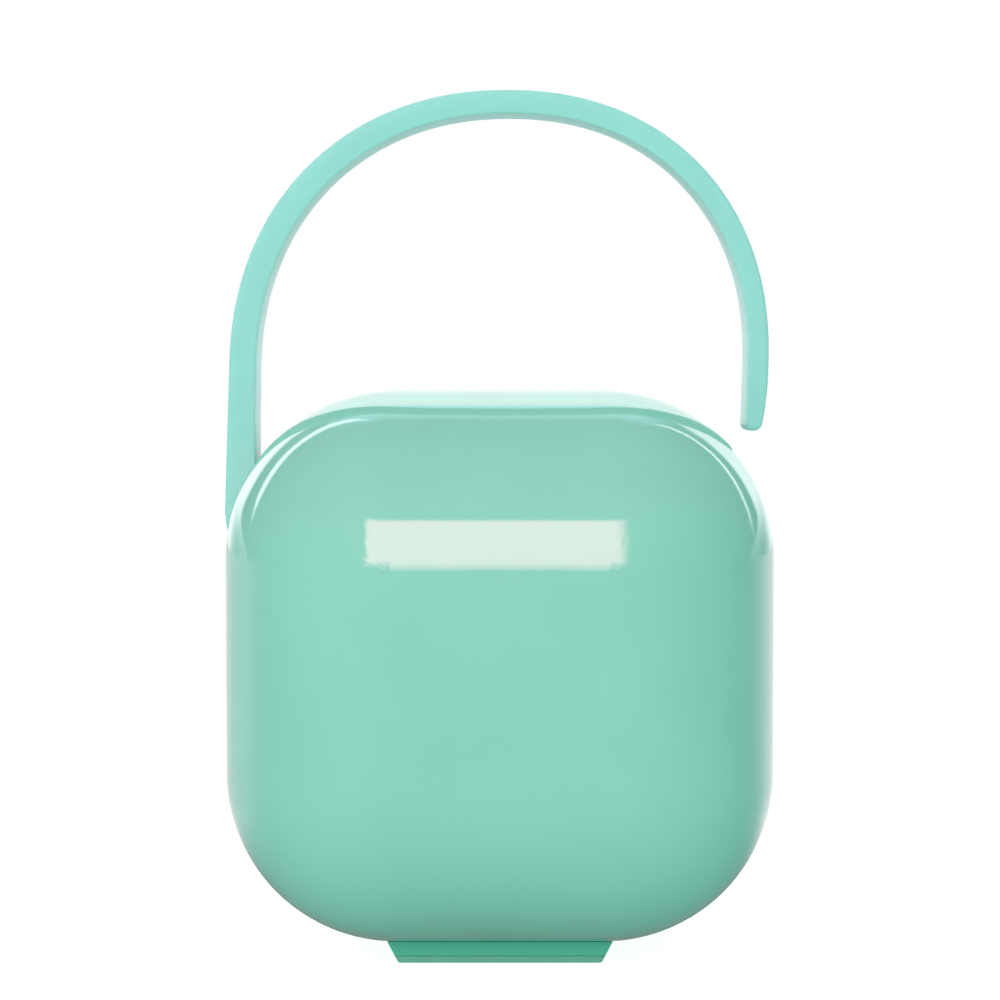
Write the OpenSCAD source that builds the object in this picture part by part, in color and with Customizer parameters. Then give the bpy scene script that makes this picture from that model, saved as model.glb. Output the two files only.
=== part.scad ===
// Pacifier sterilizer case: a soft-cornered clamshell box on a small foot,
// with one open hook handle rooted on its left side. The front half is the lid.
// Origin: middle of the foot's resting face. +X right, +Y back, +Z up.

/* [Case] */
// Width of the case
case_w = 72; // [71:0.5:74]
// Height of the case above its foot
case_h = 72.5; // [71.5:0.5:74]
// Depth of each half, from the parting line to its flat face
half_d = 30; // [29.5:0.5:31]
// Radius of every outer edge and corner
edge_r = 22.4; // [21.5:0.1:23]
// Wall of both shells
wall = 1.8; // [1.6:0.1:1.9]
// Gap between the lid and the rear shell
part_gap = 0.2; // [0.1:0.05:0.3]

/* [Chamber] */
// Clear width and height of the chamber
chamber_w = 55.2; // [54:0.2:55.2]
// Wall of the two reflector cups
cup_wall = 0.9; // [0.8:0.1:0.9]
// Depth of the reflector cup in the lid
lid_cup_d = 26.5; // [24:0.5:26.5]
// Depth of the reflector cup in the rear shell
rear_cup_d = 13; // [11:0.5:13]
// Corner radius of the cups, seen from the front
cup_corner_r = 17; // [15:0.5:18]
// Thickness of the flange around each cup
flange_t = 1.2; // [1:0.1:1.2]

/* [Foot] */
// Height of the foot, pad included
foot_h = 3.1; // [2.8:0.1:4]
// Width of the foot at its top
foot_top_w = 30; // [28:0.2:32]
// Width of the foot at its bottom
foot_base_w = 26.8; // [25:0.1:27]
// Rounding of the foot's lower corners
foot_round = 0.55; // [0.3:0.05:0.6]
// Thickness of the soft pad under the foot
pad_t = 0.9; // [0.7:0.1:1.1]

/* [Handle] */
// Depth of the handle, front to back
hook_d = 9; // [8:0.5:9]
// Height of the arch's outer top above the table
hook_top_z = 115.75; // [112:0.25:120]
// Height where the arch's ends turn into straight legs
hook_spring_z = 79; // [78:0.5:82]
// Half width of the arch outside
hook_out_a = 36.35; // [36:0.05:36.5]
// Half width of the arch inside
hook_in_a = 33.13; // [32.9:0.01:33.2]
// Thickness at the top of the arch
hook_top_t = 3.1; // [2.8:0.1:3.6]
// Squareness of the arch: 2 is an ellipse
hook_n = 2.16; // [2:0.02:2.4]
// Sideways lean of the arch for each mm of height
hook_lean = 0.03; // [0:0.005:0.04]
// Height of the free tip
hook_tip_z = 70; // [69:0.5:73]

/* [Hinge] */
// Radius of the hinge pin
pin_r = 0.75; // [0.6:0.05:0.8]
// Radius of the hinge knuckles
knuckle_r = 1.8; // [1.7:0.1:1.8]
// Half length of the hinge barrel
barrel_half = 17; // [15:1:18]
// Half length of the lid's knuckle
lid_knuckle_half = 6; // [5:0.5:7]

/* [Latch] */
// Height of the latch button's centre
latch_z = 29; // [28.5:0.5:30]
// Travel of the latch button
latch_travel = 1.2; // [1:0.1:1.2]

/* [Controls] */
// Radius of the power button
button_r = 4.5; // [4:0.1:4.8]
// Width of the charging port's cover
port_cover_w = 12.8; // [12:0.2:13.4]

/* [Hidden] */
$fn = 96;
eps = 0.01;

mint = [0.54, 0.82, 0.76];
pale_mint = [0.68, 0.88, 0.84];
silver = [0.82, 0.84, 0.86];
white = [0.94, 0.95, 0.95];
rubber_mint = [0.42, 0.70, 0.63];
steel = [0.70, 0.71, 0.73];
board_green = [0.10, 0.38, 0.24];

mid_z = foot_h + case_h / 2;
inner_r = edge_r - wall;
inner_half = case_w / 2 - wall;
// The edges of the flat faces are this much tighter than the upright corners
face_blend = 0.1;

// Cups and flanges
cup_half = chamber_w / 2 + cup_wall;
cup_edge_lid = 12;
cup_edge_rear = 8;
lid_flange_y = 0.5;
rear_flange_y = 0.4;
flange_half = inner_half - 0.4;
flange_tall = case_h / 2 - wall - 0.4;
flange_r = inner_r - 0.4;
flange_block_x = [-14, 14];
magnet_z = mid_z + 31;
sensor_y = rear_flange_y + flange_t;

// Hinge at the right side, its axis just inside the case's side
hinge_x = case_w / 2 - 1.9;
knuckle_gap = 0.35;
knuckle_end_gap = 0.2;
groove_r = 3.4;
groove_half = 23.5;
groove_wall = 1.2;

// Handle
hook_y0 = 1.5;
hook_mid_y = hook_y0 + hook_d / 2;
hook_root_z = 49;
hook_flush_x = -case_w / 2;
hook_leg_in = -33;
hook_seat_gap = 0.15;
hook_pad_in = -31.2;
hook_screw_z = [49.5, 58.5];
hook_rise = hook_top_z - hook_spring_z;
tip_drops = [9, 8.85, 8.4, 7.6, 5, 2.5];
tip_shrink = [0.35, 0.65, 0.9, 1, 1, 1];
arch_steps = 48;
root_heights = [75, 70, 65, 61, 59, 57.5, 56, 54.5, 53, 51.5, hook_root_z];
section_round = 1.1;
corner_steps = 4;

// Foot
foot_y = [-9, 11];
foot_screw_x = [-8, 8];
foot_screw_y = 6;
seam_round = 0.2;
lid_clearance = 0.3;

// Latch: its cap, the plate behind the cap, and the arm whose nose holds the lid's rib
latch_w = 9;
latch_tall = 5;
latch_cap_y = 7;
latch_cap_t = 3.2;
latch_plate_x = [-33.7, -32.4];
latch_arm_x = [-32.9, -31.5];
latch_arm_half = 4;
latch_post_half = 2.5;
latch_face_x = -case_w / 2 - 0.5;
latch_grooves = [-2, 0, 2];
catch_x = -33;
catch_z = 7;
nose_x = catch_x - (latch_travel - 0.4);

// Spring of the latch, between its post and the inner frame
spring_y = 14.6;
spring_x = [-30.6, -26];
spring_coil_r = 1.2;
spring_wire_r = 0.18;
spring_turns = 5;
spring_rings = 8;

// Rear wall controls: the button's face is dished, and the port's cover has a lip to pull it by
button_z = mid_z - 4;
button_proud = 0.3;
button_round = 0.5;
dish_r = 14;
dish_d = 0.45;
port_z = mid_z - 15;
port_lip_r = 0.55;
port_lip_h = 4.4;
lamp_x = 9.5;
back_y = half_d;
back_in = half_d - wall;

// Electronics, from the chamber's back wall to the rear wall
frame_y = 17.4;
frame_t = 1.4;
frame_w = 52;
frame_screw = 21;
board_y = 20.8;
board_t = 1.2;
board_w = 34;
board_z0 = mid_z - 22;
board_h = 21;
led_z = mid_z + 12;
led_x = 9;
window_w = 34;
window_h = 12;
rack_z = mid_z - 9;
rack_peg_x = [-9, 9];
board_screw_x = [-14.5, 14.5];
board_screw_z = [board_z0 + 2.5, board_z0 + 18.5];
board_back = board_y + board_t;

// ---------- shared shapes ----------

// Places a shape drawn face up so that it faces the front, or the back
module facing_front() { translate([0, 0, mid_z]) rotate([90, 0, 0]) children(); }
module facing_back() { mirror([0, 1, 0]) facing_front() children(); }

module round_rect(w, h, r) {
    square([w - 2 * r, h], center = true);
    square([w, h - 2 * r], center = true);
    for (x = [-1, 1], y = [-1, 1])
        translate([x * (w / 2 - r), y * (h / 2 - r)]) circle(r);
}

// Section from a corner's axis outward: a straight side, then the rounded edge
module side_section(corner, edge, depth) {
    intersection() {
        union() {
            square([corner, depth - edge]);
            if (corner > edge) square([corner - edge, depth]);
            translate([corner - edge, depth - edge]) circle(edge);
        }
        square([corner, depth]);
    }
}

// Half of a soft-cornered box: open side at z = 0, rounded face at z = depth
module soft_half(w, h, corner, edge, depth) {
    sx = w / 2 - corner;
    sy = h / 2 - corner;
    translate([-sx, -sy, 0]) cube([2 * sx, 2 * sy, depth]);
    for (m = [0, 1]) {
        mirror([m, 0, 0]) translate([sx, sy, 0]) rotate([90, 0, 0])
            linear_extrude(2 * sy) side_section(corner, edge, depth);
        mirror([0, m, 0]) translate([-sx, sy, 0]) rotate([90, 0, 90])
            linear_extrude(2 * sx) side_section(corner, edge, depth);
        for (n = [0, 1])
            mirror([m, 0, 0]) mirror([0, n, 0]) translate([sx, sy, 0])
                rotate_extrude(angle = 90) side_section(corner, edge, depth);
    }
}

module case_outer() { soft_half(case_w, case_h, edge_r, edge_r - face_blend, half_d); }

module case_shell() {
    difference() {
        case_outer();
        translate([0, 0, -eps])
            soft_half(case_w - 2 * wall, case_h - 2 * wall, inner_r, inner_r - face_blend,
                half_d - wall + eps);
    }
}

// Reflector cup with its flange, open at z = start
module cup(start, depth, edge) {
    size = 2 * cup_half;
    difference() {
        union() {
            soft_half(size, size, cup_corner_r, edge, depth);
            translate([0, 0, start]) linear_extrude(flange_t)
                round_rect(2 * flange_half, 2 * flange_tall, flange_r);
        }
        translate([0, 0, -eps])
            soft_half(chamber_w, chamber_w, cup_corner_r - cup_wall, edge - cup_wall,
                depth - cup_wall + eps);
        translate([-case_w, -case_h, -case_w]) cube([2 * case_w, 2 * case_h, case_w + start]);
    }
}

// Flat ring or plate facing the back, between two depths
module plate_y(y0, y1, z) {
    translate([0, y1, z]) rotate([90, 0, 0]) linear_extrude(y1 - y0) children();
}

module rod_y(r, y0, y1, x, z) {
    translate([x, y1, z]) rotate([90, 0, 0]) cylinder(r = r, h = y1 - y0);
}

module rod_x(r, x0, x1, y, z) {
    translate([x0, y, z]) rotate([0, 90, 0]) cylinder(r = r, h = x1 - x0);
}

module hinge_rod(r, z0, z1) {
    translate([hinge_x, 0, mid_z + z0]) cylinder(r = r, h = z1 - z0);
}

module box(x, y, z) {
    translate([x[0], y[0], z[0]]) cube([x[1] - x[0], y[1] - y[0], z[1] - z[0]]);
}

// Pan-head screw along +Z, its head's underside at z = 0, with a crossed slot
module screw(head_r, head_h, shank_r, length) {
    difference() {
        union() {
            translate([0, 0, -head_h]) cylinder(r = head_r, h = head_h);
            cylinder(r = shank_r, h = length);
        }
        for (a = [0, 90])
            rotate(a) translate([-head_r * 0.6, -0.2, -head_h - eps])
                cube([head_r * 1.2, 0.4, head_h * 0.5]);
    }
}

// ---------- lid ----------

module front_lid() {
    color(mint) difference() {
        union() {
            difference() {
                facing_front() case_shell();
                box([-case_w, case_w], [-part_gap, 1], [0, 2 * mid_z]);
                for (s = [-1, 1])
                    hinge_rod(knuckle_r + knuckle_gap,
                        s > 0 ? lid_knuckle_half : -barrel_half - knuckle_end_gap,
                        s > 0 ? barrel_half + knuckle_end_gap : -lid_knuckle_half);
            }
            hinge_rod(knuckle_r, -lid_knuckle_half, lid_knuckle_half);
            lid_catch();
            for (x = flange_block_x, s = [-1, 1]) flange_block(x, s, -3.1, -1.7);
        }
        hinge_rod(pin_r + 0.05, -lid_knuckle_half - 1, lid_knuckle_half + 1);
    }
}

// Rib that the latch's nose holds
module lid_catch() {
    box([-inner_half - 0.3, catch_x], [-2, -0.8], [latch_z - catch_z / 2, latch_z + catch_z / 2]);
}

// Small block inside a shell, behind a reflector's flange
module flange_block(x, side, y0, y1) {
    z_in = case_h / 2 - wall;
    translate([x - 4, y0, mid_z + (side > 0 ? z_in - 3 : -z_in - 0.3)])
        cube([8, y1 - y0, 3.3]);
}

module latch_notch(y0, y1) {
    box([-inner_half - 1, -29.6], [y0, y1], [latch_z - 6.5, latch_z + 6.5]);
}

module lid_reflector() {
    color(silver) difference() {
        facing_front() cup(lid_flange_y, lid_cup_d, cup_edge_lid);
        hinge_rod(knuckle_r + knuckle_gap, -barrel_half - 1, barrel_half + 1);
        latch_notch(-3, 0);
    }
}

module lid_magnet() {
    color(steel) rod_y(2, -3.1, -1.7, 0, magnet_z);
}

// ---------- rear shell ----------

// Curved gutter that lets the lid's edge turn past the rear shell's side
module hinge_gutter() {
    intersection() {
        hinge_rod(groove_r + groove_wall, -groove_half - groove_wall, groove_half + groove_wall);
        facing_back() case_outer();
    }
}

module rear_knuckles() {
    for (s = [-1, 1]) {
        z0 = s > 0 ? lid_knuckle_half + knuckle_end_gap : -barrel_half;
        z1 = s > 0 ? barrel_half : -lid_knuckle_half - knuckle_end_gap;
        difference() {
            union() {
                hinge_rod(knuckle_r, z0, z1);
                box([hinge_x - 4, hinge_x], [0, knuckle_r], [mid_z + z0, mid_z + z1]);
            }
            hinge_rod(pin_r, z0 - 1, z1 + 1);
        }
    }
}

// Thicker wall behind the handle's root
module handle_pad() {
    intersection() {
        box([-case_w / 2 - 1, hook_pad_in], [0.4, 12], [42.5, 66.5]);
        facing_back() case_outer();
    }
}

// Pocket for the handle's root, open at the side
module handle_pocket() {
    y0 = hook_y0 - hook_seat_gap;
    y1 = hook_y0 + hook_d + hook_seat_gap;
    box([-case_w, hook_leg_in], [y0, y1], [hook_root_z, 75]);
    rod_x((y1 - y0) / 2, -case_w, hook_leg_in, hook_mid_y, hook_root_z);
    for (z = hook_screw_z) rod_x(1.05, -case_w / 2, -25, hook_mid_y, z);
}

module rear_shell() {
    color(mint) {
        difference() {
            union() {
                facing_back() case_shell();
                hinge_gutter();
                handle_pad();
                for (x = flange_block_x, s = [-1, 1]) flange_block(x, s, 1.6, 3);
                for (x = foot_screw_x)
                    translate([x, foot_screw_y, foot_h + wall - 0.3]) cylinder(r = 2.4, h = 4);
                intersection() {
                    for (x = [-1, 1], z = [-1, 1])
                        rod_y(2.6, frame_y + frame_t, 28, x * frame_screw, mid_z + z * frame_screw);
                    facing_back() case_outer();
                }
            }
            hinge_rod(groove_r, -groove_half, groove_half);
            handle_pocket();
            latch_hole();
            button_hole();
            port_opening();
            rod_y(1.05, 20, 31, lamp_x, button_z);
            for (x = foot_screw_x) translate([x, foot_screw_y, 0]) cylinder(r = 0.8, h = foot_h + 4);
            for (x = [-1, 1], z = [-1, 1])
                rod_y(0.9, 10, 24, x * frame_screw, mid_z + z * frame_screw);
        }
        rear_knuckles();
    }
}

module latch_hole() {
    translate([-case_w / 2 - 1, latch_cap_y, latch_z]) rotate([0, 90, 0])
        linear_extrude(4) round_rect(latch_w + 0.5, latch_tall + 0.5, 2.7);
}

module button_hole() { rod_y(button_r + 0.25, back_in - 2, back_y + 1, 0, button_z); }

// Recess for the port's cover and the hole for the socket
module port_opening() {
    plate_y(back_y - 1.4, back_y + 1, port_z) square([port_cover_w + 0.3, 7], center = true);
    plate_y(back_y - 4, back_y, port_z) round_rect(9.3, 3.6, 1.75);
}

// ---------- chamber ----------

module chamber_reflector() {
    color(silver) difference() {
        facing_back() cup(rear_flange_y, rear_cup_d, cup_edge_rear);
        box([cup_half + 0.5, case_w], [0, 6], [mid_z - groove_half - 2, mid_z + groove_half + 2]);
        latch_notch(0, 2);
        box([-case_w, hook_pad_in + 0.4], [0, 2], [42, 70]);
        plate_y(rear_cup_d - 3, rear_cup_d + 1, led_z) round_rect(30, 8, 3);
        for (x = rack_peg_x) rod_y(1.25, rear_cup_d - 3, rear_cup_d + 1, x, rack_z);
    }
}

module lid_seal() {
    color(white) plate_y(-0.45, rear_flange_y, mid_z) difference() {
        round_rect(2 * cup_half + 1.6, 2 * cup_half + 1.6, cup_corner_r + 0.8);
        round_rect(2 * cup_half - 0.4, 2 * cup_half - 0.4, cup_corner_r - 0.2);
    }
}

// Forked shelf: the pacifier's shield rests on the prongs, its button between them
module pacifier_rack() {
    back_in_y = rear_cup_d - cup_wall;
    color(white) {
        plate_y(back_in_y - 1.5, back_in_y, rack_z) round_rect(31, 9, 2);
        for (s = [-1, 1]) rack_prong(s, back_in_y);
        for (x = rack_peg_x) rod_y(1.2, back_in_y - eps, rear_cup_d + 0.6, x, rack_z);
    }
}

module rack_prong(s, y_back) {
    prong_in = 11.5;
    prong_w = 4;
    tip_y = -12;
    z0 = rack_z - 1;
    x0 = s > 0 ? prong_in : -prong_in - prong_w;
    box([x0, x0 + prong_w], [tip_y, y_back - 1], [z0, z0 + 2]);
    translate([x0 + prong_w / 2, tip_y, z0]) cylinder(r = prong_w / 2, h = 2);
    box([x0 + prong_w / 2 - 0.6, x0 + prong_w / 2 + 0.6], [y_back - 7, y_back - 1], [z0 - 2.4, z0 + 0.1]);
}

module quartz_window() {
    color([0.85, 0.92, 0.98, 0.5])
        plate_y(rear_cup_d, rear_cup_d + 1, led_z) round_rect(window_w, window_h, 2);
}

module window_seal() {
    color(white) plate_y(rear_cup_d + 1, rear_cup_d + 2, led_z) difference() {
        round_rect(window_w, window_h, 2);
        round_rect(window_w - 4, window_h - 4, 2);
    }
}

// ---------- hinge, latch ----------

module hinge_pin() {
    color(steel) hinge_rod(pin_r, -barrel_half + 0.2, barrel_half - 0.2);
}

module latch_button() {
    plate_z = [latch_z - latch_w / 2 - 1.1, latch_z + latch_w / 2 + 1.1];
    arm_z = [latch_z - latch_arm_half, latch_z + latch_arm_half];
    post_z = [latch_z - latch_post_half, latch_z + latch_post_half];
    color(mint) {
        latch_cap();
        box(latch_plate_x, [3.4, 10.2], plate_z);
        box(latch_arm_x, [-4, 3.6], arm_z);
        box([nose_x, latch_arm_x[0] + 0.1], [-4, -2.4], arm_z);
        box([latch_plate_x[1], latch_arm_x[1] + 0.3], [3.4, 10], post_z);
        box([latch_arm_x[1] - 0.3, spring_x[0]], [8, spring_y + 1.6], post_z);
    }
}

// The part that a finger presses, with three grip grooves
module latch_cap() {
    difference() {
        translate([latch_face_x, latch_cap_y, latch_z]) rotate([0, 90, 0])
            linear_extrude(latch_cap_t) round_rect(latch_w, latch_tall, 2.4);
        for (z = latch_grooves) rod_y(0.35, latch_cap_y - 1.6, latch_cap_y + 1.6, latch_face_x, latch_z + z);
    }
}

// Point and frame of the coil at turn t
function coil_point(t) =
    let (lead = spring_wire_r, len = spring_x[1] - spring_x[0] - 2 * lead)
    [spring_x[0] + lead + len * t / spring_turns,
     spring_y + spring_coil_r * cos(360 * t),
     latch_z + spring_coil_r * sin(360 * t)];

function coil_ring(t) =
    [for (k = [0:5])
        let (a = 60 * k, out = spring_wire_r * cos(a), along = spring_wire_r * sin(a))
        coil_point(t) + [along, out * cos(360 * t), out * sin(360 * t)]];

module latch_spring() {
    n = spring_turns * spring_rings;
    points = [for (i = [0:n]) each coil_ring(i / spring_rings)];
    sides = [for (i = [0:n - 1], k = [0:5]) each [
        [6 * i + k, 6 * i + (k + 1) % 6, 6 * (i + 1) + (k + 1) % 6],
        [6 * i + k, 6 * (i + 1) + (k + 1) % 6, 6 * (i + 1) + k]]];
    first_end = [for (k = [1:4]) [0, k + 1, k]];
    last_end = [for (k = [1:4]) [6 * n, 6 * n + k, 6 * n + k + 1]];
    color(steel) polyhedron(points, concat(sides, first_end, last_end));
}

// ---------- handle ----------

function power(v, p) = sign(v) * pow(abs(v), p);

// Outer and inner edge of the arch at angle a, from the tip's side (0) to the root's (180)
function arch_point(a, cx, half_w, rise) =
    let (z = rise * power(sin(a), 2 / hook_n))
    [cx + hook_lean * z + half_w * power(cos(a), 2 / hook_n), hook_spring_z + z];

function ease(u) = let (v = min(1, max(0, u))) v * v * (3 - 2 * v);

// Stations along the handle: each is [outer point, inner point]
function tip_station(i) =
    let (drop = tip_drops[i] * (hook_spring_z - hook_tip_z) / 9,
         out = hook_out_a - 0.15 - 0.0125 * drop * drop,
         inn = hook_in_a + 0.27 - 0.03 * drop,
         mid = (out + inn) / 2,
         half = (out - inn) / 2 * tip_shrink[i])
    [[mid + half, hook_spring_z - drop], [mid - half, hook_spring_z - drop]];

function arch_station(i) =
    let (a = 180 * i / arch_steps)
    [arch_point(a, -0.15, hook_out_a, hook_rise),
     arch_point(a, 0.27, hook_in_a, hook_rise - hook_top_t)];

// The root runs down the case's side and sinks into it
function root_station(z) =
    let (drop = hook_spring_z - z,
         proud = -hook_out_a - 0.15 - 0.035 * drop,
         out = hook_flush_x + (proud - hook_flush_x) * ease((z - 51.5) / 8),
         inn = min(-hook_in_a + 0.27 - 0.02 * drop, z < 70 ? hook_leg_in : 0))
    [[out, z], [z < 70 ? hook_leg_in : inn, z]];

stations = concat(
    [for (i = [0:len(tip_drops) - 1]) tip_station(i)],
    [for (i = [0:arch_steps]) arch_station(i)],
    [for (z = root_heights) root_station(z)]);

// Rounded section between a station's outer and inner point
function section(s) =
    let (mid = (s[0] + s[1]) / 2,
         out = (s[0] - s[1]) / 2,
         half = norm(out),
         dir = out / half,
         r = min(section_round, half * 0.9))
    [for (q = [0:3], k = [0:corner_steps - 1])
        let (a = 90 * q + 90 * k / (corner_steps - 1),
             su = q == 0 || q == 3 ? 1 : -1,
             sv = q < 2 ? 1 : -1,
             u = su * (half - r) + r * cos(a),
             v = sv * (hook_d / 2 - r) + r * sin(a))
        [mid[0] + dir[0] * u, hook_mid_y + v, mid[1] + dir[1] * u]];

module handle_sweep() {
    ring = 4 * corner_steps;
    last = len(stations) - 1;
    points = [for (s = stations) each section(s)];
    sides = [for (i = [0:last - 1], k = [0:ring - 1]) each [
        [ring * i + k, ring * (i + 1) + (k + 1) % ring, ring * i + (k + 1) % ring],
        [ring * i + k, ring * (i + 1) + k, ring * (i + 1) + (k + 1) % ring]]];
    first_end = [for (k = [1:ring - 2]) [0, k, k + 1]];
    last_end = [for (k = [1:ring - 2]) [ring * last, ring * last + k + 1, ring * last + k]];
    polyhedron(points, concat(sides, first_end, last_end));
}

module handle() {
    color(pale_mint) difference() {
        union() {
            handle_sweep();
            rod_x(hook_d / 2, hook_flush_x, hook_leg_in, hook_mid_y, hook_root_z);
        }
        for (z = hook_screw_z) rod_x(0.9, -35.2, hook_leg_in + 1, hook_mid_y, z);
    }
}

module handle_screws() {
    color(steel) for (z = hook_screw_z)
        translate([hook_pad_in, hook_mid_y, z]) rotate([0, -90, 0]) screw(1.8, 1.2, 0.9, 4);
}

// ---------- foot ----------

// Front view of the whole foot: slanting ends with rounded lower corners
module foot_front() {
    slant = atan((foot_top_w - foot_base_w) / 2 / foot_h);
    round_x = foot_base_w / 2 - foot_round * (1 - sin(slant)) / cos(slant);
    touch_x = round_x + foot_round * cos(slant);
    touch_z = foot_round * (1 - sin(slant));
    polygon([
        [-round_x, 0], [round_x, 0], [touch_x, touch_z], [foot_top_w / 2, foot_h],
        [-foot_top_w / 2, foot_h], [-touch_x, touch_z],
    ]);
    for (x = [-round_x, round_x]) translate([x, foot_round]) circle(foot_round);
}

// Side view of a slab of the foot between two heights, its lower edges rounded
module foot_side(z0, z1, r) {
    y0 = foot_y[0];
    y1 = foot_y[1];
    translate([y0, z0 + r]) square([y1 - y0, z1 - z0 - r]);
    translate([y0 + r, z0]) square([y1 - y0 - 2 * r, z1 - z0]);
    for (y = [y0 + r, y1 - r]) translate([y, z0 + r]) circle(r);
}

module foot_slab(z0, z1, r) {
    intersection() {
        translate([0, foot_y[1] + 1, 0]) rotate([90, 0, 0])
            linear_extrude(foot_y[1] - foot_y[0] + 2) foot_front();
        translate([-foot_top_w, 0, 0]) rotate([90, 0, 90])
            linear_extrude(2 * foot_top_w) foot_side(z0, z1, r);
    }
}

module foot() {
    color(mint) difference() {
        foot_slab(pad_t, foot_h, seam_round);
        box([-foot_top_w, foot_top_w], [-case_w, 0.1], [foot_h - lid_clearance, foot_h + 1]);
        facing_back() case_outer();
        for (x = foot_screw_x) translate([x, foot_screw_y, 0]) {
            cylinder(r = 0.95, h = 10);
            cylinder(r = 2, h = pad_t + 1);
        }
    }
}

module foot_pad() { color(rubber_mint) foot_slab(0, pad_t, seam_round); }

module foot_screws() {
    color(steel) for (x = foot_screw_x)
        translate([x, foot_screw_y, pad_t + 1]) screw(1.8, 0.9, 0.8, 5);
}

// ---------- electronics ----------

module inner_frame() {
    y1 = frame_y + frame_t;
    color(white) difference() {
        union() {
            plate_y(frame_y, y1, mid_z) round_rect(frame_w, frame_w, 8);
            box([-26, -24.8], [13.4, y1], [latch_z - 2.6, latch_z + 2.6]);
            box([-16, 16], [y1 - eps, 22], [mid_z - 0.6, mid_z + 0.4]);
            for (x = board_screw_x, z = board_screw_z) rod_y(2, y1 - eps, board_y, x, z);
        }
        for (x = [-1, 1], z = [-1, 1])
            rod_y(1.05, frame_y - 1, y1 + 1, x * frame_screw, mid_z + z * frame_screw);
        for (x = board_screw_x, z = board_screw_z) rod_y(0.7, frame_y - 1, board_y + 1, x, z);
    }
}

module frame_screws() {
    color(steel) for (x = [-1, 1], z = [-1, 1])
        translate([x * frame_screw, frame_y, mid_z + z * frame_screw])
            rotate([-90, 0, 0]) screw(1.9, 1.3, 0.9, 6);
}

module uv_led_board() {
    color(board_green) plate_y(frame_y - 1, frame_y, led_z) round_rect(36, 14, 1);
}

module uv_leds() {
    color(white) for (s = [-1, 1])
        plate_y(frame_y - 2.2, frame_y - 1, led_z) translate([s * led_x, 0]) square(3.5, center = true);
}

module battery() {
    color([0.75, 0.78, 0.82])
        plate_y(frame_y + frame_t, frame_y + frame_t + 6.5, mid_z + 10.5) round_rect(35, 20, 1.5);
}

module main_board() {
    color(board_green) difference() {
        plate_y(board_y, board_back, board_z0 + board_h / 2) square([board_w, board_h], center = true);
        for (x = board_screw_x, z = board_screw_z) rod_y(0.8, board_y - 1, board_y + 2, x, z);
    }
}

module board_screws() {
    color(steel) for (x = board_screw_x, z = board_screw_z)
        translate([x, board_back, z]) rotate([90, 0, 0]) screw(1.5, 0.8, 0.7, 3.5);
}

module power_switch() {
    color([0.15, 0.15, 0.16]) difference() {
        plate_y(board_back, board_back + 2, button_z) square(4.5, center = true);
        rod_y(1.05, board_back + 1, board_back + 3, 0, button_z);
    }
}

module switch_plunger() {
    color(white) rod_y(1, board_back + 1.7, board_back + 3, 0, button_z);
}

module power_button() {
    y0 = back_in - 0.4;
    face = back_y + button_proud;
    color(pale_mint) {
        difference() {
            translate([0, y0, button_z]) rotate([-90, 0, 0])
                rotate_extrude() side_section(button_r, button_round, face - y0);
            translate([0, face + dish_r - dish_d, button_z]) sphere(dish_r);
        }
        rod_y(button_r + 1.1, back_in - 1.3, back_in - 0.3, 0, button_z);
        rod_y(1.6, board_back + 3, back_in - 1.2, 0, button_z);
    }
}

module indicator_lens() {
    color(white) {
        rod_y(1, board_back + 1.2, back_y + 0.05, lamp_x, button_z);
        rod_y(1.7, back_in - 1.1, back_in, lamp_x, button_z);
    }
}

module status_led() {
    color([0.9, 0.9, 0.6]) plate_y(board_back, board_back + 0.7, button_z)
        translate([lamp_x, 0]) square([1.6, 0.8], center = true);
}

module usb_socket() {
    mouth = back_y - 1.5;
    color(steel) {
        plate_y(board_back, mouth, port_z) difference() {
            round_rect(8.94, 3.26, 1.6);
            round_rect(8.24, 2.56, 1.25);
        }
        plate_y(board_back, board_back + 1, port_z) round_rect(8.94, 3.26, 1.6);
        plate_y(board_back + 0.9, mouth - 1.2, port_z) square([6.7, 0.7], center = true);
    }
}

module port_cover() {
    color(rubber_mint) {
        intersection() {
            union() {
                plate_y(back_y - 1.3, back_y, port_z) square([port_cover_w, 6.7], center = true);
                plate_y(back_y - 2.2, back_y - 1.2, port_z) square([7, 1.5], center = true);
            }
            facing_back() case_outer();
        }
        translate([port_cover_w / 2 - 1.2, back_y, port_z - port_lip_h / 2])
            cylinder(r = port_lip_r, h = port_lip_h);
    }
}

module lid_sensor() {
    color([0.2, 0.2, 0.22])
        box([-2, 2], [sensor_y, sensor_y + 1.5], [magnet_z - 1.5, magnet_z + 1.5]);
}

front_lid();
lid_reflector();
lid_magnet();
rear_shell();
chamber_reflector();
lid_seal();
hinge_pin();
latch_button();
latch_spring();
handle();
handle_screws();
foot();
foot_pad();
foot_screws();
inner_frame();
frame_screws();
uv_led_board();
uv_leds();
quartz_window();
window_seal();
pacifier_rack();
battery();
main_board();
board_screws();
power_switch();
switch_plunger();
power_button();
indicator_lens();
status_led();
usb_socket();
port_cover();
lid_sensor();
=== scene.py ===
"""Looks of the pacifier sterilizer case: a glossy mint clamshell with an open hook handle."""

import math

import bmesh
import bpy
from bpy.props import FloatProperty, FloatVectorProperty, IntProperty, PointerProperty
from bpy.types import Operator, Panel, PropertyGroup
from mathutils import Matrix, Vector


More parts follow.
